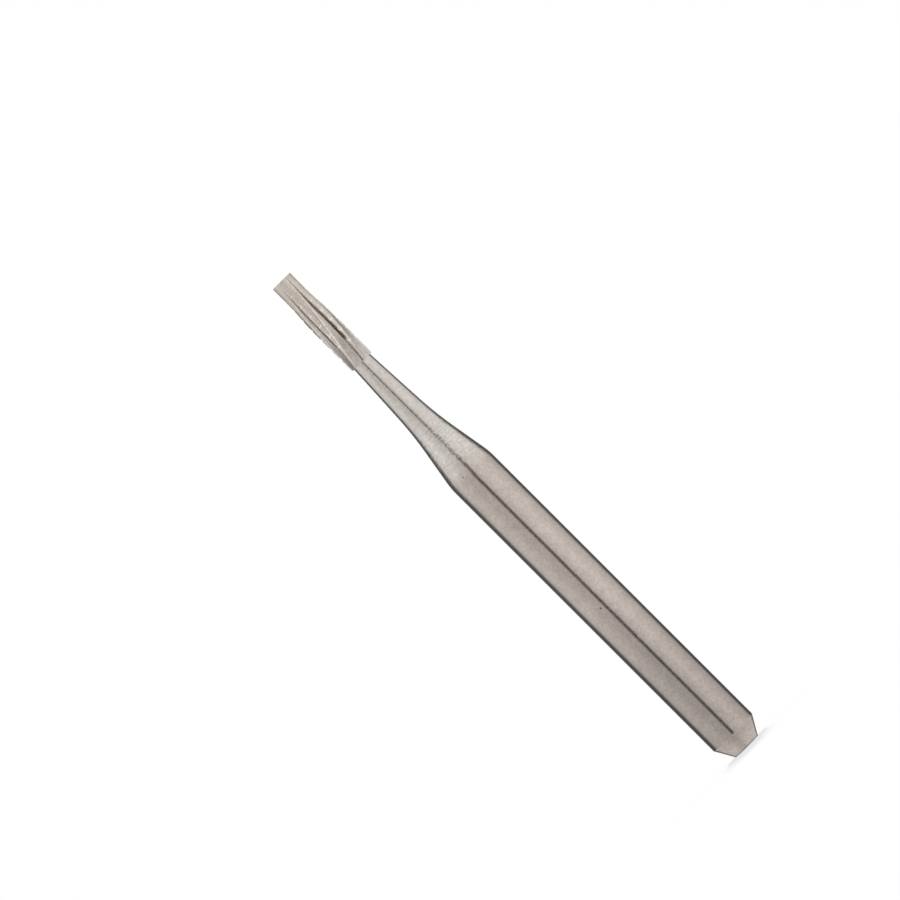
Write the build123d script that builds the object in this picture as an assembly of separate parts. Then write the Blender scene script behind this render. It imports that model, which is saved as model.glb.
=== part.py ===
from build123d import *
import math
import os

os.makedirs("parts", exist_ok=True)

# One-piece friction-grip burr, ground from a single carbide rod. Millimetres and degrees.
# It stands on its shank end: the origin is the centre of that end face, +Z runs to the cutting tip.

# Shank: parallel, with a long chamfer down to a small flat end face
shank_diameter = 1.60
shank_length = 11.60
end_face_diameter = 0.92
chamfer_angle = 30.0  # measured from the axis

# Neck: a steep cone below the shoulder, then a slender cone up to the head
cone_length = 1.92
waist_diameter = 0.935
waist_length = 2.60
shoulder_radius = 2.4
waist_radius = 12.0
neck_step = 0.0725  # radial step from the head's base in to the neck

# Head: a fissure shape, tapered in its middle, with blades that hook back at the neck
head_length = 3.38
head_base_diameter = 0.81
head_tip_diameter = 0.71
taper_start = 1.65  # heights above the head's base between which the head tapers
taper_end = 2.80
blade_count = 6
first_blade_angle = 1.5  # where the first cutting edge ends at the tip, from +X
blade_hook = 14.0  # how far round each cutting edge turns back at the neck
hook_quickening = 6.0  # above 1 the turn is kept close to the neck

# Lands: the round top of each blade behind its cutting edge, which widens to the tip
land_angle_at_neck = 2.0
land_angle_at_tip = 57.0
land_start = 0.40  # height above the head's base where the land starts to widen
heel_bevel_width = 0.050
heel_bevel_depth = 0.018

# Gullets: a deep V under each cutting edge, at the end of the flat flute floor
gullet_width = 0.100
gullet_lean = 0.50  # where its bottom lies, as a share of the width from the cutting edge
gullet_steepness_at_neck = 1.70  # depth for each unit of width
gullet_steepness_at_tip = 0.90
runout_steepness = 0.60  # what is left of the gullet where it runs out at the neck
runout_lean = 0.85
runout_length = 0.76
runout_blend = 0.14
gullet_share = 0.60  # most of a narrow flute that the gullet may take up
bevel_share = 0.30  # most of a narrow flute that the heel bevel may take up

# Crosscuts: one left-hand V groove wound round the head, which nicks every cutting edge
crosscut_pitch = 0.403
crosscut_phase = 266.0  # its angle at the head's base, from +X
crosscut_angle = 115.0
crosscut_tilt = 9.0  # by which each nick rises behind the edge
crosscut_depth_at_neck = 0.056
crosscut_depth_at_tip = 0.024
crosscut_first = 0.40  # heights above the head's base between which the blades are nicked
crosscut_last = 2.90

# How finely the head is laid out
section_count = 17
runout_sections = 4

# Sizes that follow from those above
shank_radius = shank_diameter / 2
end_face_radius = end_face_diameter / 2
chamfer_length = (shank_radius - end_face_radius) / math.tan(math.radians(chamfer_angle))
base_radius = head_base_diameter / 2
tip_radius = head_tip_diameter / 2
neck_end_radius = base_radius - neck_step
waist_z = shank_length + cone_length
head_z = waist_z + waist_length
blade_spacing = 360.0 / blade_count


def polar(radius, angle, z=0.0):
    """A point at this radius and angle round the axis."""
    turned = math.radians(angle)
    return Vector(radius * math.cos(turned), radius * math.sin(turned), z)


def between(low, high, share):
    """The value this share of the way from low to high."""
    return low + (high - low) * share


def smooth_step(share):
    """0 to 1 with level ends, for a share of a blend."""
    held = min(max(share, 0.0), 1.0)
    return held * held * (3 - 2 * held)


def body_profile():
    """Half section of the shank and neck in the XZ plane, closed along the axis."""
    corners = [
        (end_face_radius, 0),
        (shank_radius, chamfer_length),
        (shank_radius, shank_length),
        (waist_diameter / 2, waist_z),
        (neck_end_radius, head_z),
    ]
    with BuildSketch(Plane.XZ) as half:
        with BuildLine():
            FilletPolyline(*corners, radius=[0, shoulder_radius, waist_radius])
            Polyline(corners[-1], (0, head_z), (0, 0), corners[0])
        make_face()
    return half.sketch


def head_share(height):
    """A height above the head's base as a share of the head's length, from 0 to 1."""
    return min(max(height / head_length, 0.0), 1.0)


def envelope_radius(height):
    """Radius over the cutting edges at a height above the head's base."""
    share = smooth_step((height - taper_start) / (taper_end - taper_start))
    return between(base_radius, tip_radius, share)


def edge_angle(height):
    """Angle of the first blade's cutting edge at a height above the head's base."""
    return first_blade_angle - blade_hook * (1 - head_share(height)) ** hook_quickening


def land_angle(height):
    """Angle that each blade's land takes up behind its cutting edge."""
    share = (height - land_start) / (head_length - land_start)
    return between(land_angle_at_neck, land_angle_at_tip, min(max(share, 0.0), 1.0))


def gullet_steepness(height):
    """Depth of the gullet for its width: slight where the flute runs out, then deep."""
    full = between(gullet_steepness_at_neck, gullet_steepness_at_tip, head_share(height))
    return between(runout_steepness, full, smooth_step((height - runout_length) / runout_blend))


def gullet_bottom(height):
    """Where the gullet's bottom lies, as a share of its width from the cutting edge."""
    run = smooth_step((height - runout_length) / runout_blend)
    return between(runout_lean, gullet_lean, run)


def sunk(point, depth):
    """A flat point moved this far towards the axis."""
    return point - point.normalized() * depth


def blade_outline(height, start):
    """Flat corners from one cutting edge to the next, anticlockwise."""
    outer = envelope_radius(height)
    land = land_angle(height)
    heel = polar(outer, start + land)
    next_edge = polar(outer, start + blade_spacing)
    flute = next_edge - heel
    bevel_width = min(heel_bevel_width, bevel_share * flute.length)
    bevel_depth = heel_bevel_depth * bevel_width / heel_bevel_width
    width = min(gullet_width, gullet_share * flute.length)
    toe = sunk(heel + flute.normalized() * bevel_width, bevel_depth)
    rim = sunk(next_edge - flute.normalized() * width, bevel_depth / 2)
    middle = next_edge + (rim - next_edge) * gullet_bottom(height)
    bottom = sunk(middle, width * gullet_steepness(height))
    return polar(outer, start), polar(outer, start + land / 2), heel, toe, rim, bottom, next_edge


def head_section(height):
    """Outline of the fluted head: land, heel bevel, floor and gullet for each blade."""
    lift = Vector(0, 0, head_z + height)
    edges = []
    for blade in range(blade_count):
        outline = blade_outline(height, edge_angle(height) + blade * blade_spacing)
        edge, crown, heel, *rest = [corner + lift for corner in outline]
        corners = [heel, *rest]
        edges.append(Edge.make_three_point_arc(edge, crown, heel))
        edges += [Edge.make_line(a, b) for a, b in zip(corners, corners[1:])]
    return Wire(edges)


def section_heights():
    """Even steps up the head, with closer ones where the gullets run out."""
    runout_end = runout_length + runout_blend
    even = [head_length * step / (section_count - 1) for step in range(section_count)]
    steps = range(runout_sections + 1)
    close = [between(runout_length, runout_end, step / runout_sections) for step in steps]
    return sorted(close + [h for h in even if not runout_length <= h <= runout_end])


def fluted_head():
    """The head with its flutes and without its crosscuts."""
    return Solid.make_loft([head_section(height) for height in section_heights()], ruled=True)


def crosscut_heights(blade):
    """Heights above the head's base where the left-hand groove meets a blade's cutting edge."""
    heights = []
    turn = 0
    height = 0.0
    while height < crosscut_last:
        for _ in range(4):
            around = crosscut_phase - edge_angle(height) - blade * blade_spacing
            height = crosscut_pitch * (around / 360 + turn)
        if crosscut_first <= height <= crosscut_last:
            heights.append(height)
        turn += 1
    return heights


def crosscut_tool(blade, height):
    """A straight V cutter that nicks one cutting edge and rises out through its land."""
    outer = envelope_radius(height)
    depth = between(crosscut_depth_at_neck, crosscut_depth_at_tip, head_share(height))
    angle = edge_angle(height) + blade * blade_spacing
    outward = polar(1, angle)
    lead = math.atan(crosscut_pitch / (2 * math.pi * outer))
    level = polar(1, angle + 90) * math.cos(lead) - Vector(0, 0, 1) * math.sin(lead)
    tilt = math.radians(crosscut_tilt)
    along = level * math.cos(tilt) + outward * math.sin(tilt)
    up = outward * math.cos(tilt) - level * math.sin(tilt)
    bottom = outward * (outer - depth) + Vector(0, 0, head_z + height)
    rise = 3 * depth
    half_width = rise * math.tan(math.radians(crosscut_angle / 2))
    section = Plane(origin=bottom - along * depth, x_dir=up, z_dir=along)
    triangle = Polygon((0, 0), (rise, -half_width), (rise, half_width), align=None)
    return extrude(section * triangle, amount=6 * depth)


def burr():
    """The whole burr as one solid."""
    body = revolve(body_profile(), Axis.Z)
    tools = [
        crosscut_tool(blade, height)
        for blade in range(blade_count)
        for height in crosscut_heights(blade)
    ]
    head = fluted_head() - tools
    return body + head


export_step(burr(), "parts/burr.step")
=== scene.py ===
"""A one-piece dental carbide burr, standing on its shank end in a white light tent."""

import math

import bmesh
import bpy
from mathutils import Matrix, Vector


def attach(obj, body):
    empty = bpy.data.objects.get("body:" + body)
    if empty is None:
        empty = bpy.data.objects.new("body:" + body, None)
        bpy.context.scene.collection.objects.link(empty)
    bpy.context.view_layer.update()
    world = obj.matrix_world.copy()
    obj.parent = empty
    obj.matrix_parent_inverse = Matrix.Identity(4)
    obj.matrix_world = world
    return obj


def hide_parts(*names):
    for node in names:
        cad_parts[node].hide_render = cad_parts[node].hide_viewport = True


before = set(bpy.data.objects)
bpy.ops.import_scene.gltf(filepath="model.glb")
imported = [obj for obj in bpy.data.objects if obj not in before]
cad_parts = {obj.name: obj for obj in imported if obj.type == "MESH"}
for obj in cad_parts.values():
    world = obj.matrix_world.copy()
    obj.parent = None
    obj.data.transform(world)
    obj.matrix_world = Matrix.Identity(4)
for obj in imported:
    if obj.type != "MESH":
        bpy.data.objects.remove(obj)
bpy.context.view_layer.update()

MM = 0.001  # sizes below are in millimetres and degrees, as in the part's source

# Shank and neck
shank_diameter = 1.60
shank_length = 11.60
end_face_diameter = 0.92
chamfer_angle = 30.0
cone_length = 1.92
waist_diameter = 0.935
waist_length = 2.60
shoulder_radius = 2.4
waist_radius = 12.0
neck_step = 0.0725

# Head
head_length = 3.38
head_base_diameter = 0.81
head_tip_diameter = 0.71
taper_start = 1.65
taper_end = 2.80
blade_count = 6
first_blade_angle = 1.5
blade_hook = 14.0
hook_quickening = 6.0

# Flutes
land_angle_at_neck = 2.0
land_angle_at_tip = 57.0
land_start = 0.40
heel_bevel_width = 0.050
heel_bevel_depth = 0.018
widest_bevel = 0.3  # share of the flute
gullet_width = 0.100
widest_gullet = 0.6  # share of the flute
rim_sink = 0.5  # share of the heel bevel's depth by which the gullet's far rim lies low
gullet_lean = 0.50
gullet_steepness_at_neck = 1.70
gullet_steepness_at_tip = 0.90
runout_steepness = 0.60
runout_lean = 0.85
runout_length = 0.76
runout_blend = 0.14

# Crosscuts
crosscut_pitch = 0.403
crosscut_phase = 266.0
crosscut_angle = 115.0
crosscut_tilt = 9.0
crosscut_depth_at_neck = 0.056
crosscut_depth_at_tip = 0.024
crosscut_first = 0.40
crosscut_last = 2.90
groove_passes = 4  # of the search for where the groove meets a cutting edge
cutter_rise = 3.0  # this and the next two are multiples of the nick's depth
cutter_ahead = 1.0
cutter_behind = 5.0

# Fineness of the mesh
land_columns = 10
bevel_columns = 3
floor_columns = 12
far_wall_columns = 4
near_wall_columns = 4
head_rows = 160
arc_points = 24
chamfer_rings = 4
shank_rings = 40
sharp_angle = 12.0

# Camera: level, square to the axis and rolled, so that the burr lies across the frame.
# The middle of the burr is counted from the picture's top left corner.
photo_pixels = 900
pixels_per_mm = 33.75
axis_slope = 44.98  # of the burr in the picture, tip up and to the left
burr_middle_px = (514.15, 513.8)
lens_mm = 400.0
sensor_mm = 36.0
clip_near_m = 0.01
clip_far_m = 10.0

# Sizes that follow
shank_r = shank_diameter / 2
end_face_r = end_face_diameter / 2
chamfer_length = (shank_r - end_face_r) / math.tan(math.radians(chamfer_angle))
base_r = head_base_diameter / 2
tip_r = head_tip_diameter / 2
waist_r = waist_diameter / 2
neck_end_r = base_r - neck_step
waist_z = shank_length + cone_length
head_z = waist_z + waist_length
tip_z = head_z + head_length
blade_spacing = 360.0 / blade_count
gullet_columns = far_wall_columns + near_wall_columns
columns = blade_count * (land_columns + bevel_columns + floor_columns + gullet_columns)


def between(low, high, share):
    """The value this share of the way from low to high."""
    return low + (high - low) * share


def clamped(share):
    """A share held between 0 and 1."""
    return min(max(share, 0.0), 1.0)


def smooth_step(share):
    """0 to 1 with level ends, for a share of a blend."""
    held = clamped(share)
    return held * held * (3 - 2 * held)


def polar(radius, angle):
    """A flat point at this radius and angle round the axis."""
    turned = math.radians(angle)
    return Vector((radius * math.cos(turned), radius * math.sin(turned)))


# ---------------------------------------------------------------- shape


def straight(start, end, count):
    """Points on a straight line, from start up to but not including end."""
    return [start.lerp(end, k / count) for k in range(count)]


def arc_through(start, middle, end, count):
    """Points on the circle through three flat points, from start up to but not including end."""
    ax, ay = start
    bx, by = middle
    cx, cy = end
    twice = 2 * (ax * (by - cy) + bx * (cy - ay) + cx * (ay - by))
    a2, b2, c2 = start.length_squared, middle.length_squared, end.length_squared
    centre = Vector(
        (
            (a2 * (by - cy) + b2 * (cy - ay) + c2 * (ay - by)) / twice,
            (a2 * (cx - bx) + b2 * (ax - cx) + c2 * (bx - ax)) / twice,
        )
    )
    first = start - centre
    turn = first.angle_signed(end - centre)
    return [centre + Matrix.Rotation(-turn * k / count, 2) @ first for k in range(count)]


def filleted(before, corner, after, radius):
    """Points of the arc that rounds a profile's corner."""
    back = (before - corner).normalized()
    ahead = (after - corner).normalized()
    half = back.angle(ahead) / 2
    start = corner + back * (radius / math.tan(half))
    end = corner + ahead * (radius / math.tan(half))
    centre = corner + (back + ahead).normalized() * (radius / math.sin(half))
    crown = centre + (corner - centre).normalized() * radius
    return arc_through(start, crown, end, arc_points) + [end]


def body_profile():
    """(radius, height) points of the shank and neck, from the end face's rim to the head."""
    end_rim = Vector((end_face_r, 0))
    chamfer_rim = Vector((shank_r, chamfer_length))
    shoulder = Vector((shank_r, shank_length))
    waist = Vector((waist_r, waist_z))
    neck_end = Vector((neck_end_r, head_z))
    round_shoulder = filleted(chamfer_rim, shoulder, waist, shoulder_radius)
    round_waist = filleted(shoulder, waist, neck_end, waist_radius)
    chamfer = straight(end_rim, chamfer_rim, chamfer_rings)
    shank = straight(chamfer_rim, round_shoulder[0], shank_rings)
    return chamfer + shank + round_shoulder + round_waist + [neck_end]


def head_share(height):
    """How far up the head a height above its base is: 0 at the neck, 1 at the tip."""
    return clamped(height / head_length)


def envelope_radius(height):
    """Radius of the cutting edges: straight, then tapered, then straight to the tip."""
    return between(base_r, tip_r, smooth_step((height - taper_start) / (taper_end - taper_start)))


def edge_angle(height):
    """Angle of the first blade's cutting edge: straight, with a hook at the neck."""
    return first_blade_angle - blade_hook * (1 - head_share(height)) ** hook_quickening


def land_angle(height):
    """Angle that each blade's land takes up behind its cutting edge."""
    share = (height - land_start) / (head_length - land_start)
    return between(land_angle_at_neck, land_angle_at_tip, clamped(share))


def past_runout(height):
    """0 where the gullet runs out by the neck, 1 where it is full."""
    return smooth_step((height - runout_length) / runout_blend)


def gullet_steepness(height):
    """Depth of the gullet for its width: slight where the flute runs out, then deep."""
    full = between(gullet_steepness_at_neck, gullet_steepness_at_tip, head_share(height))
    return between(runout_steepness, full, past_runout(height))


def gullet_bottom(height):
    """Where the gullet's bottom lies, as a share of its width from the cutting edge."""
    return between(runout_lean, gullet_lean, past_runout(height))


def head_section(height):
    """Flat outline of the head at a height above its base, blade by blade.

    Each blade has its land, then the heel bevel, the flute's floor and the gullet's two walls.
    """
    outer = envelope_radius(height)
    land = land_angle(height)
    points = []
    for blade in range(blade_count):
        start = edge_angle(height) + blade * blade_spacing
        edge = polar(outer, start)
        crown = polar(outer, start + land / 2)
        heel = polar(outer, start + land)
        next_edge = polar(outer, start + blade_spacing)
        flute = next_edge - heel
        bevel_width = min(heel_bevel_width, widest_bevel * flute.length)
        width = min(gullet_width, widest_gullet * flute.length)
        drop = bevel_width * heel_bevel_depth / heel_bevel_width
        toe = heel + flute.normalized() * bevel_width
        toe -= toe.normalized() * drop
        rim = next_edge - flute.normalized() * width
        rim -= rim.normalized() * drop * rim_sink
        bottom = next_edge.lerp(rim, gullet_bottom(height))
        bottom -= bottom.normalized() * width * gullet_steepness(height)
        points += arc_through(edge, crown, heel, land_columns)
        points += straight(heel, toe, bevel_columns)
        points += straight(toe, rim, floor_columns)
        points += straight(rim, bottom, far_wall_columns)
        points += straight(bottom, next_edge, near_wall_columns)
    return points


def ring(bm, points, height):
    """Vertices, in metres, at flat points in millimetres and a height above the floor."""
    return [bm.verts.new((p.x * MM, p.y * MM, height * MM)) for p in points]


def skin(bm, lower, upper):
    """Quads between two rings."""
    count = len(lower)
    for k in range(count):
        bm.faces.new((lower[k], lower[(k + 1) % count], upper[(k + 1) % count], upper[k]))


def loop_edges(bm, verts):
    """The edges of a closed ring of vertices."""
    return [bm.edges.get((verts[k - 1], verts[k])) for k in range(len(verts))]


def finished_mesh(bm, name):
    """A mesh of what has been built, with its faces turned outwards."""
    bmesh.ops.recalc_face_normals(bm, faces=bm.faces)
    mesh = bpy.data.meshes.new(name)
    bm.to_mesh(mesh)
    bm.free()
    return mesh


def plain_burr():
    """The mesh of the burr before its crosscuts."""
    bm = bmesh.new()
    circle = [polar(1, 360 * k / columns) for k in range(columns)]
    centre = bm.verts.new((0, 0, 0))
    rings = [ring(bm, [c * radius for c in circle], z) for radius, z in body_profile()]
    foot = rings[0]
    for k in range(columns):
        bm.faces.new((centre, foot[(k + 1) % columns], foot[k]))
    for lower, upper in zip(rings, rings[1:]):
        skin(bm, lower, upper)
    heights = [head_length * k / head_rows for k in range(head_rows + 1)]
    head = [ring(bm, head_section(h), head_z + h) for h in heights]
    for lower, upper in zip(head, head[1:]):
        skin(bm, lower, upper)

    # The flat step from the neck to the head. The gullets dip inside the neck's circle, so the
    # two outlines cross, and the fill has overlaps and one small gap there.
    bm.edges.index_update()
    step_edges = loop_edges(bm, rings[-1]) + loop_edges(bm, head[0])
    bmesh.ops.triangle_fill(bm, use_beauty=True, edges=step_edges)

    tip = bm.verts.new((0, 0, tip_z * MM))
    rim = head[-1]
    for k in range(columns):
        bm.faces.new((tip, rim[k], rim[(k + 1) % columns]))
    return finished_mesh(bm, "burr_blank")


def crosscut_heights(blade):
    """Heights above the head's base where the left-hand groove meets a blade's cutting edge."""
    heights = []
    turn = 0
    height = 0.0
    while height < crosscut_last:
        for _ in range(groove_passes):
            around = crosscut_phase - edge_angle(height) - blade * blade_spacing
            height = crosscut_pitch * (around / 360 + turn)
        if crosscut_first <= height <= crosscut_last:
            heights.append(height)
        turn += 1
    return heights


def add_cutter(bm, blade, height):
    """One V cutter that nicks a blade's cutting edge at this height and rises through its land."""
    outer = envelope_radius(height)
    depth = between(crosscut_depth_at_neck, crosscut_depth_at_tip, head_share(height))
    angle = edge_angle(height) + blade * blade_spacing
    outward = polar(1, angle).to_3d()
    around = polar(1, angle + 90).to_3d()
    lead = math.atan(crosscut_pitch / (2 * math.pi * outer))
    level = around * math.cos(lead) - Vector((0, 0, 1)) * math.sin(lead)
    tilt = math.radians(crosscut_tilt)
    along = level * math.cos(tilt) + outward * math.sin(tilt)
    up = outward * math.cos(tilt) - level * math.sin(tilt)
    across = along.cross(up)
    bottom = outward * (outer - depth) + Vector((0, 0, head_z + height))
    rise = cutter_rise * depth
    half_width = rise * math.tan(math.radians(crosscut_angle / 2))
    section = [Vector(), up * rise + across * half_width, up * rise - across * half_width]
    ends = [
        [bm.verts.new((bottom + p + along * reach) * MM) for p in section]
        for reach in (-cutter_ahead * depth, cutter_behind * depth)
    ]
    bm.faces.new(ends[0])
    bm.faces.new(ends[1][::-1])
    for k in range(len(section)):
        bm.faces.new((ends[0][k - 1], ends[1][k - 1], ends[1][k], ends[0][k]))


def crosscut_cutters():
    """All the V cutters in one mesh."""
    bm = bmesh.new()
    for blade in range(blade_count):
        for height in crosscut_heights(blade):
            add_cutter(bm, blade, height)
    return finished_mesh(bm, "crosscut_cutters")


def add_object(name, data):
    """A new object of the scene with this mesh, light or camera."""
    obj = bpy.data.objects.new(name, data)
    bpy.context.scene.collection.objects.link(obj)
    return obj


def cut_burr():
    """The burr with its crosscuts, as one mesh with crisp edges."""
    burr = add_object("burr_fine", plain_burr())
    cutters = add_object("cutters", crosscut_cutters())
    cut = burr.modifiers.new("crosscuts", "BOOLEAN")
    cut.operation = "DIFFERENCE"
    cut.solver = "EXACT"
    cut.object = cutters
    depsgraph = bpy.context.evaluated_depsgraph_get()
    finished = bpy.data.meshes.new_from_object(burr.evaluated_get(depsgraph))
    finished.name = "burr_fine"
    burr.modifiers.clear()
    burr.data = finished
    bpy.data.objects.remove(cutters)
    finished.polygons.foreach_set("use_smooth", [True] * len(finished.polygons))
    finished.set_sharp_from_angle(angle=math.radians(sharp_angle))
    return burr


# ---------------------------------------------------------------- material


# Places of the colour sockets in a Mix node, which has a set for each kind of data
MIX_FIRST = 6
MIX_SECOND = 7
MIX_RESULT = 2


def grey(level):
    """An opaque grey of this level."""
    return (level, level, level, 1)


class Nodes:
    """Short calls for building a node tree."""

    def __init__(self, tree):
        self.tree = tree
        tree.nodes.clear()

    def add(self, kind, **settings):
        """A new node with these settings."""
        node = self.tree.nodes.new(kind)
        for name, value in settings.items():
            setattr(node, name, value)
        return node

    def join(self, output, socket):
        """Feeds an output, or else a constant, into a socket."""
        if isinstance(output, bpy.types.NodeSocket):
            self.tree.links.new(output, socket)
        else:
            socket.default_value = output

    def math(self, operation, *values):
        """The result of one Math node."""
        node = self.add("ShaderNodeMath", operation=operation)
        for value, socket in zip(values, node.inputs):
            self.join(value, socket)
        return node.outputs[0]

    def total(self, value, *others):
        """All the values added together."""
        for other in others:
            value = self.math("ADD", value, other)
        return value

    def product(self, value, *others):
        """All the values multiplied together."""
        for other in others:
            value = self.math("MULTIPLY", value, other)
        return value

    def greatest(self, value, *others):
        """The greatest of the values."""
        for other in others:
            value = self.math("MAXIMUM", value, other)
        return value

    def swing(self, pattern, amount):
        """A noise pattern turned into a change up and down of about this amount."""
        return self.product(self.math("SUBTRACT", pattern, 0.5), amount)

    def vector(self, x, y, z):
        """Three values as one vector."""
        node = self.add("ShaderNodeCombineXYZ")
        for value, socket in zip((x, y, z), node.inputs):
            self.join(value, socket)
        return node.outputs[0]

    def ramp(self, value, low, high, to_low=0.0, to_high=1.0):
        """Smooth change from to_low to to_high while value goes from low to high."""
        node = self.add("ShaderNodeMapRange", interpolation_type="SMOOTHSTEP")
        for v, name in zip(
            (value, low, high, to_low, to_high),
            ("Value", "From Min", "From Max", "To Min", "To Max"),
        ):
            self.join(v, node.inputs[name])
        return node.outputs["Result"]

    def noise(self, vector, scale=1.0, detail=2.0, roughness=0.5):
        """Cloudy noise from 0 to 1."""
        node = self.add("ShaderNodeTexNoise")
        self.join(vector, node.inputs["Vector"])
        node.inputs["Scale"].default_value = scale
        node.inputs["Detail"].default_value = detail
        node.inputs["Roughness"].default_value = roughness
        return node.outputs["Fac"]

    def mix(self, factor, first, second, blend="MIX"):
        """The first colour, blended with the second by this factor."""
        node = self.add("ShaderNodeMix", data_type="RGBA", blend_type=blend)
        self.join(factor, node.inputs["Factor"])
        self.join(first, node.inputs[MIX_FIRST])
        self.join(second, node.inputs[MIX_SECOND])
        return node.outputs[MIX_RESULT]


# Small light and dark specks on the shank: place in millimetres, radius and colour
DARK_SPECK = (0.10, 0.09, 0.08, 1)
LIGHT_SPECK = (0.80, 0.77, 0.74, 1)
MARKS = (
    ((-0.166, -0.783, 5.97), 0.045, DARK_SPECK),
    ((-0.309, -0.738, 11.59), 0.035, DARK_SPECK),
    ((0.012, -0.800, 4.58), 0.055, LIGHT_SPECK),
)
mark_core = 0.5  # share of the radius that has the full colour
mark_strength = 0.8

# Colours of the metal: two tints of each, since the photo's grey wanders a little
SHANK_TINTS = ((0.597, 0.519, 0.485, 1), (0.610, 0.548, 0.488, 1))
NECK_TINTS = ((0.705, 0.636, 0.602, 1), (0.685, 0.660, 0.606, 1))
TIP_TINTS = ((0.770, 0.690, 0.626, 1), (0.755, 0.708, 0.632, 1))
# Painted shade: a darker colour laid into the deep parts of the gullets, where the flutes' walls
# shade them
GULLET_SHADE = (0.58, 0.555, 0.53, 1)

# Heights on the burr over which one look turns into the next
SHOULDER_SPAN = (shank_length - 0.25, shank_length + 0.75)
CONE_END_SPAN = (waist_z - 0.4, waist_z + 0.2)
HEAD_SPAN = (head_z - 0.02, head_z + 0.02)
END_SPAN = (chamfer_length - 0.12, chamfer_length)
CHAMFER_SPAN = (chamfer_length - 0.004, chamfer_length + 0.004)
CHAMFER_SHADE_SPAN = (0.20, 0.50)
FOOT_SHADE_SPAN = (0.02, 0.05)
TAIL_SHADE_SPAN = (2.5, 7.0)
SHANK_BUMP_SPAN = (shank_length - 0.35, shank_length)
TIP_TINT_SPAN = (head_z - 0.02, head_z + 1.6)
TIP_FACE_SPAN = (tip_z - 0.004, tip_z - 0.001)
TAPER_SPAN = (head_z + taper_start, head_z + taper_end)
TIP_GULLET_SPAN = (head_z + 1.7, head_z + 2.5)
TIP_ROUGH_SPAN = (head_z + 1.5, head_z + 2.6)
COLLAR_SPAN = (head_z + 0.55, head_z + 0.95)

# Depths below the cutting edges over which one look turns into the next
BEVEL_TOP_SPAN = (0.001, 0.004)
BEVEL_FOOT_SPAN = (0.015, 0.019)
GULLET_SPAN = (0.055, 0.080)
tip_gullet_shade_gain = 0.025  # painted shade: the gullets are shallower at the tip but are painted as dark

# Noise: its scales, and the factors that draw it out along the burr or round it
grain_scale = 11.0
cloud_scale = 2.2
tint_scale = 3.4
TINT_SPAN = (0.36, 0.64)
ring_scale = 20.0
fine_detail = 3.0
least_detail = 1.0
rough_noise = 0.6
WHEEL_STRETCH = (5.0, 5.0, 22.0)
FLUTE_STRETCH = (30.0, 30.0, 1.5)
WAVER_STRETCH = (7.0, 7.0, 10.0)

# Tones: factors on the metal's colour, or how far noise swings it
grain_tone = 0.60
cloud_tone = 0.16
neck_streak_tone = 0.25
cone_streak_tone = 0.60
ring_tone = 0.80
# painted shade, darker towards the shank's end
tail_painted_shade = 0.825
# painted shade along the foot's rim
foot_painted_shade = 0.62
# painted shade on the upper chamfer
chamfer_painted_shade = 0.12
# painted shade on the tip's end face
tip_face_painted_shade = 0.44
# painted highlight on the heel bevels
bevel_painted_highlight = 0.14

# Roughness, which adds up
plain_roughness = 0.13
grain_roughness = 0.08
neck_roughness = 0.04
end_roughness = 0.06
head_roughness = 0.18
tip_roughness = 0.22
collar_roughness = 0.10

# Bump heights in micrometres
micrometre = 0.001 * MM
shank_grain_bump = 0.18
grain_bump = 0.80
neck_streak_bump = 4.0
cone_streak_bump = 2.0
cone_waver_bump = 9.0
flute_bump = 3.0
ring_bump = 2.5


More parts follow.
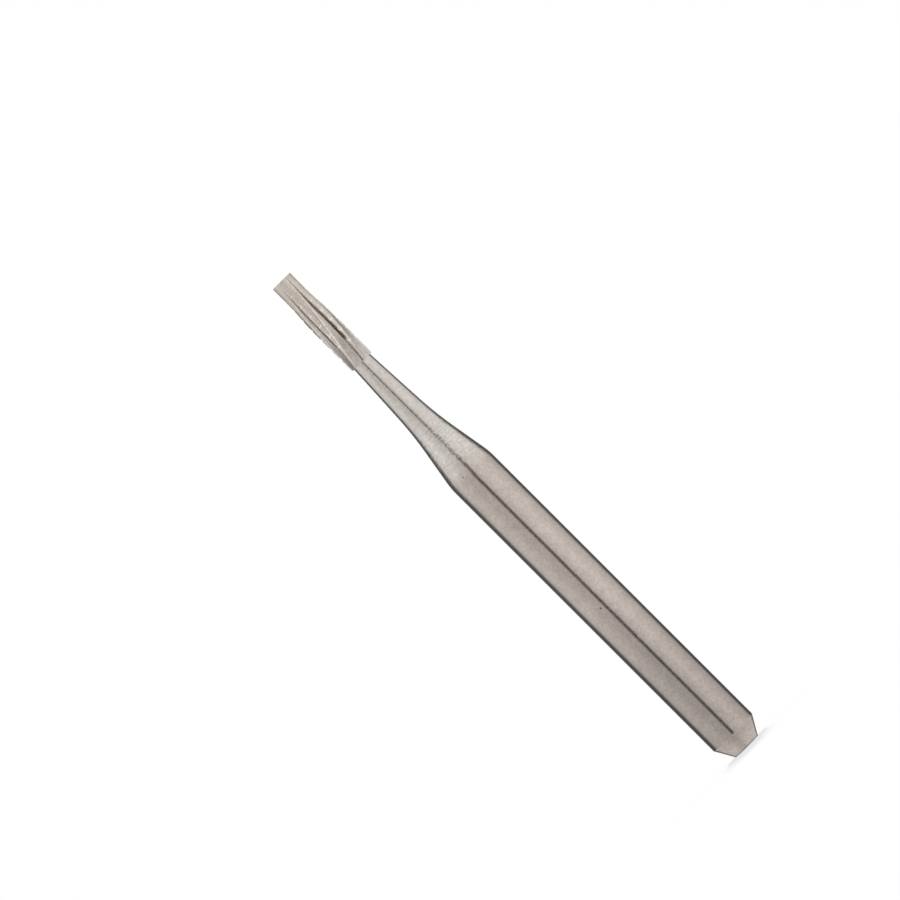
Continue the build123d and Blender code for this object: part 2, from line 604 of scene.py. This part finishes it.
def carbide_material():
    """Satin ground tungsten carbide: fine grain, marks left by the wheel, a few small specks, with
    painted shade in the gullets, towards the shank's end, on the upper chamfer, along the foot's
    rim and on the tip's end face, and a painted highlight on the heel bevels.
    """
    material = bpy.data.materials.new("ground_carbide")
    material.use_nodes = True
    n = Nodes(material.node_tree)
    in_mm = n.add("ShaderNodeVectorMath", operation="SCALE")
    n.join(n.add("ShaderNodeTexCoord").outputs["Object"], in_mm.inputs[0])
    in_mm.inputs["Scale"].default_value = 1 / MM
    point = in_mm.outputs[0]
    split = n.add("ShaderNodeSeparateXYZ")
    n.join(point, split.inputs[0])
    x, y, z = split.outputs
    radius = n.math("SQRT", n.total(n.product(x, x), n.product(y, y)))

    # Regions, each 1 inside and 0 outside
    past_shoulder = n.ramp(z, *SHOULDER_SPAN)
    on_head = n.ramp(z, *HEAD_SPAN)
    on_neck = n.math("SUBTRACT", past_shoulder, on_head)
    on_cone = n.math("SUBTRACT", past_shoulder, n.ramp(z, *CONE_END_SPAN))
    on_end = n.ramp(z, *END_SPAN, 1.0, 0.0)
    on_chamfer = n.ramp(z, *CHAMFER_SPAN, 1.0, 0.0)
    below_tip = n.ramp(z, *TIP_FACE_SPAN, 1.0, 0.0)
    sunk = n.math("SUBTRACT", n.ramp(z, *TAPER_SPAN, base_r, tip_r), radius)
    on_bevel = n.product(n.ramp(sunk, *BEVEL_TOP_SPAN), n.ramp(sunk, *BEVEL_FOOT_SPAN, 1.0, 0.0))
    # Where the gullets lie deep enough to take the painted shade
    deep = n.total(sunk, n.ramp(z, *TIP_GULLET_SPAN, 0.0, tip_gullet_shade_gain))
    gullet_shade_mask = n.product(on_head, n.ramp(deep, *GULLET_SPAN), below_tip)

    def stretched(factors):
        """The point with each part times its factor."""
        return n.vector(*(n.product(part, factor) for part, factor in zip((x, y, z), factors)))

    # Patterns
    grain = n.noise(point, grain_scale, fine_detail, rough_noise)
    cloud = n.noise(point, cloud_scale)
    tint = n.ramp(n.noise(point, tint_scale), *TINT_SPAN)
    wheel_marks = n.noise(stretched(WHEEL_STRETCH), detail=fine_detail, roughness=rough_noise)
    flute_marks = n.noise(stretched(FLUTE_STRETCH), roughness=rough_noise)
    waver = n.noise(stretched(WAVER_STRETCH), detail=least_detail)
    rings = n.noise(n.vector(0.0, 0.0, n.product(n.total(z, radius), ring_scale)))

    # Tone
    tone = n.total(n.swing(grain, grain_tone), 1.0)
    tone = n.total(tone, n.swing(cloud, cloud_tone))
    # Painted shade: the shank darker towards its end on the floor
    tone = n.product(tone, n.ramp(z, *TAIL_SHADE_SPAN, tail_painted_shade, 1.0))
    streak_tone = n.total(
        n.product(on_neck, neck_streak_tone), n.product(on_cone, cone_streak_tone)
    )
    streaks = n.swing(wheel_marks, streak_tone)
    turned = n.swing(rings, n.product(on_end, ring_tone))
    tone = n.total(tone, n.total(streaks, turned))
    # Painted shade: a dark line along the rim of the end face, where the burr stands on the floor
    tone = n.product(tone, n.ramp(z, *FOOT_SHADE_SPAN, foot_painted_shade, 1.0))
    # Painted shade: the chamfer darker towards the shank
    shaded_chamfer = n.product(on_chamfer, n.ramp(z, *CHAMFER_SHADE_SPAN, 0.0, chamfer_painted_shade))
    tone = n.product(tone, n.math("SUBTRACT", 1.0, shaded_chamfer))
    # Painted shade: the tip's flat end face darkened, to hold down the overhead lamp's light on it
    tone = n.product(tone, n.total(n.product(below_tip, 1.0 - tip_face_painted_shade), tip_face_painted_shade))
    # Painted highlight: lighter where the surface lies just below the cutting edges, on the heel
    # bevels and the tops of the nicks' walls
    tone = n.product(tone, n.total(n.product(on_bevel, on_head, bevel_painted_highlight), 1.0))

    # Colour
    metal = n.mix(past_shoulder, n.mix(tint, *SHANK_TINTS), n.mix(tint, *NECK_TINTS))
    metal = n.mix(n.ramp(z, *TIP_TINT_SPAN), metal, n.mix(tint, *TIP_TINTS))
    # Painted shade: the deep parts of the gullets take the darker colour
    metal = n.mix(gullet_shade_mask, metal, GULLET_SHADE)
    colour = n.mix(1.0, metal, n.vector(tone, tone, tone), "MULTIPLY")
    for place, size, look in MARKS:
        away = n.add("ShaderNodeVectorMath", operation="DISTANCE")
        n.join(point, away.inputs[0])
        away.inputs[1].default_value = place
        mark = n.ramp(away.outputs["Value"], mark_core * size, size, mark_strength, 0.0)
        colour = n.mix(mark, colour, look)

    roughness = n.total(
        plain_roughness,
        n.product(grain, grain_roughness),
        n.product(on_neck, neck_roughness),
        n.product(on_end, end_roughness),
        n.product(on_head, head_roughness),
        n.ramp(z, *TIP_ROUGH_SPAN, 0.0, tip_roughness),
        n.product(on_head, n.ramp(z, *COLLAR_SPAN, collar_roughness, 0.0)),
    )

    streak_bump = n.total(
        n.product(on_neck, neck_streak_bump), n.product(on_cone, cone_streak_bump)
    )
    height = n.total(
        n.product(grain, n.ramp(z, *SHANK_BUMP_SPAN, shank_grain_bump, grain_bump)),
        n.product(wheel_marks, streak_bump),
        n.product(waver, n.product(on_cone, cone_waver_bump)),
        n.product(flute_marks, n.product(on_head, flute_bump)),
        n.product(rings, n.product(on_end, ring_bump)),
    )
    bump = n.add("ShaderNodeBump")
    bump.inputs["Strength"].default_value = 1.0
    bump.inputs["Distance"].default_value = micrometre
    n.join(height, bump.inputs["Height"])

    shader = n.add("ShaderNodeBsdfPrincipled")
    shader.inputs["Metallic"].default_value = 1.0
    n.join(colour, shader.inputs["Base Color"])
    n.join(roughness, shader.inputs["Roughness"])
    n.join(bump.outputs[0], shader.inputs["Normal"])
    out = n.add("ShaderNodeOutputMaterial")
    n.join(shader.outputs[0], out.inputs[0])
    return material


# ---------------------------------------------------------------- stage


# Brightness of the tent by azimuth from the camera, 0 at the camera and positive towards +X:
# near the horizon, above it and well below it
HORIZON = (
    (-180, 0.9), (-172, 0.9), (-168, 0.12), (-126, 0.12), (-112, 0.66), (-95, 0.765),
    (-72, 0.765), (-52, 0.70), (-34, 0.62), (-12, 0.63), (-5, 0.60), (5, 0.72), (17, 0.78),
    (34, 0.88), (53, 0.95), (73, 0.88), (95, 0.79), (118, 0.66), (134, 0.11), (168, 0.11),
    (172, 0.9), (180, 0.9),
)
ABOVE = (
    (-180, 0.9), (-172, 0.9), (-168, 0.12), (-124, 0.12), (-108, 0.80), (-75, 0.93),
    (-50, 0.83), (-30, 0.74), (-12, 0.71), (5, 0.80), (30, 0.88), (90, 0.95), (112, 0.85),
    (128, 0.11), (168, 0.11), (172, 0.9), (180, 0.9),
)
BELOW = (
    (-180, 0.9), (-75, 0.93), (-50, 0.83), (-30, 0.74), (-12, 0.71), (5, 0.80), (30, 0.88),
    (90, 0.97), (180, 0.9),
)

# The dark gap for the camera: its middle leans from one azimuth to the other as it rises
slit_middle = -1.7
slit_middle_above = 1.5
SLIT_LEAN_SPAN = (1.5, 5.0)
slit_half_angle = 5.0
slit_softness = 2.2
slit_top = 24.0
slit_top_softness = 6.0
SLIT_COLOUR = (0.090, 0.076, 0.062, 1)

# Elevations at which the tent's three bands and its top meet
band_edge = 3.0
band_edge_softness = 4.0
band_depth = 24.0
band_depth_softness = 7.0
overhead_edge = 46.0
overhead_softness = 8.0

# Levels of the tent, and the floor and lamp
overhead_level = 1.45
diffuse_level = 0.45
floor_radius_m = 2.0
floor_sides = 96
floor_colour = 0.97
floor_glow = 0.67
sun_level = 0.598
sun_elevation = 78.0
sun_angle = 5.0


def azimuth_ramp(n, azimuth, stops_wanted):
    """Brightness by azimuth, from a list of (degrees, level) pairs."""
    node = n.add("ShaderNodeValToRGB")
    n.join(n.math("ADD", n.math("DIVIDE", azimuth, 360.0), 0.5), node.inputs[0])
    stops = node.color_ramp.elements
    while len(stops) < len(stops_wanted):
        stops.new(0.5)
    for stop, (angle, level) in zip(stops, stops_wanted):
        stop.position = angle / 360 + 0.5
        stop.color = grey(level)
    return node.outputs[0]


def light_tent():
    """White to the eye; metal sees the tent's panels, its dark flags and the camera's gap."""
    world = bpy.data.worlds.new("tent")
    bpy.context.scene.world = world
    world.use_nodes = True
    n = Nodes(world.node_tree)
    direction = n.add("ShaderNodeSeparateXYZ")
    n.join(n.add("ShaderNodeTexCoord").outputs["Generated"], direction.inputs[0])
    x, y, z = direction.outputs
    azimuth = n.math("DEGREES", n.math("ARCTAN2", x, n.math("MULTIPLY", y, -1.0)))
    elevation = n.math("DEGREES", n.math("ARCSINE", z))
    above = n.ramp(elevation, band_edge, band_edge + band_edge_softness)
    below = n.ramp(elevation, -band_depth, -band_depth + band_depth_softness, 1.0, 0.0)
    panels = n.mix(above, azimuth_ramp(n, azimuth, HORIZON), azimuth_ramp(n, azimuth, ABOVE))
    panels = n.mix(below, panels, azimuth_ramp(n, azimuth, BELOW))
    middle = n.ramp(elevation, *SLIT_LEAN_SPAN, slit_middle, slit_middle_above)
    aside = n.math("ABSOLUTE", n.math("SUBTRACT", azimuth, middle))
    tall = n.math("ABSOLUTE", elevation)
    gap = n.product(
        n.ramp(aside, slit_half_angle, slit_half_angle + slit_softness, 1.0, 0.0),
        n.ramp(tall, slit_top, slit_top + slit_top_softness, 1.0, 0.0),
    )
    overhead = n.ramp(elevation, overhead_edge, overhead_edge + overhead_softness)
    panels = n.mix(overhead, panels, grey(overhead_level))
    tent = n.mix(gap, panels, SLIT_COLOUR)
    path = n.add("ShaderNodeLightPath").outputs
    shiny = n.greatest(path["Is Glossy Ray"], path["Is Transmission Ray"])
    seen = n.mix(shiny, grey(diffuse_level), tent)
    seen = n.mix(path["Is Camera Ray"], seen, grey(1.0))
    background = n.add("ShaderNodeBackground")
    n.join(seen, background.inputs["Color"])
    out = n.add("ShaderNodeOutputWorld")
    n.join(background.outputs[0], out.inputs[0])


def top_light():
    """A soft lamp overhead, a little behind, that lays the burr's shadow on the floor."""
    data = bpy.data.lights.new("top_light", "SUN")
    data.energy = sun_level * math.pi
    data.angle = math.radians(sun_angle)
    obj = add_object("top_light", data)
    obj.rotation_euler = (math.radians(sun_elevation - 90), 0, 0)


def floor():
    """A plain white floor under the burr's end face."""
    bm = bmesh.new()
    bmesh.ops.create_circle(bm, cap_ends=True, segments=floor_sides, radius=floor_radius_m)
    mesh = bpy.data.meshes.new("floor")
    bm.to_mesh(mesh)
    bm.free()
    obj = add_object("floor", mesh)
    material = bpy.data.materials.new("white_floor")
    material.use_nodes = True
    n = Nodes(material.node_tree)
    plain = n.add("ShaderNodeBsdfDiffuse")
    plain.inputs["Color"].default_value = grey(floor_colour)
    white = n.add("ShaderNodeEmission")
    path = n.add("ShaderNodeLightPath").outputs
    seen = n.greatest(path["Is Glossy Ray"], path["Is Transmission Ray"], path["Is Camera Ray"])
    blend = n.add("ShaderNodeMixShader")
    n.join(n.product(seen, floor_glow), blend.inputs[0])
    n.join(plain.outputs[0], blend.inputs[1])
    n.join(white.outputs[0], blend.inputs[2])
    out = n.add("ShaderNodeOutputMaterial")
    n.join(blend.outputs[0], out.inputs[0])
    mesh.materials.append(material)
    obj.visible_glossy = False


def camera():
    """A long lens, level with the burr and square to it, rolled to put it across the frame."""
    data = bpy.data.cameras.new("camera")
    data.lens = lens_mm
    data.sensor_width = sensor_mm
    data.clip_start = clip_near_m
    data.clip_end = clip_far_m
    obj = add_object("camera", data)
    bpy.context.scene.camera = obj
    slope = math.radians(axis_slope)
    right = Vector((math.sin(slope), 0, -math.cos(slope)))
    up = Vector((math.cos(slope), 0, math.sin(slope)))
    towards = right.cross(up)
    off_x = (burr_middle_px[0] - photo_pixels / 2) / pixels_per_mm
    off_y = (burr_middle_px[1] - photo_pixels / 2) / pixels_per_mm
    aim = Vector((0, 0, tip_z / 2)) - right * off_x + up * off_y
    distance = lens_mm * (photo_pixels / pixels_per_mm) / sensor_mm
    place = Matrix((right, up, towards)).transposed().to_4x4()
    place.translation = (aim + towards * distance) * MM
    obj.matrix_world = place


burr = cut_burr()
burr.data.materials.clear()
burr.data.materials.append(carbide_material())
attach(burr, "root")
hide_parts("burr")
light_tent()
top_light()
floor()
camera()
bpy.context.scene.view_settings.view_transform = "Standard"
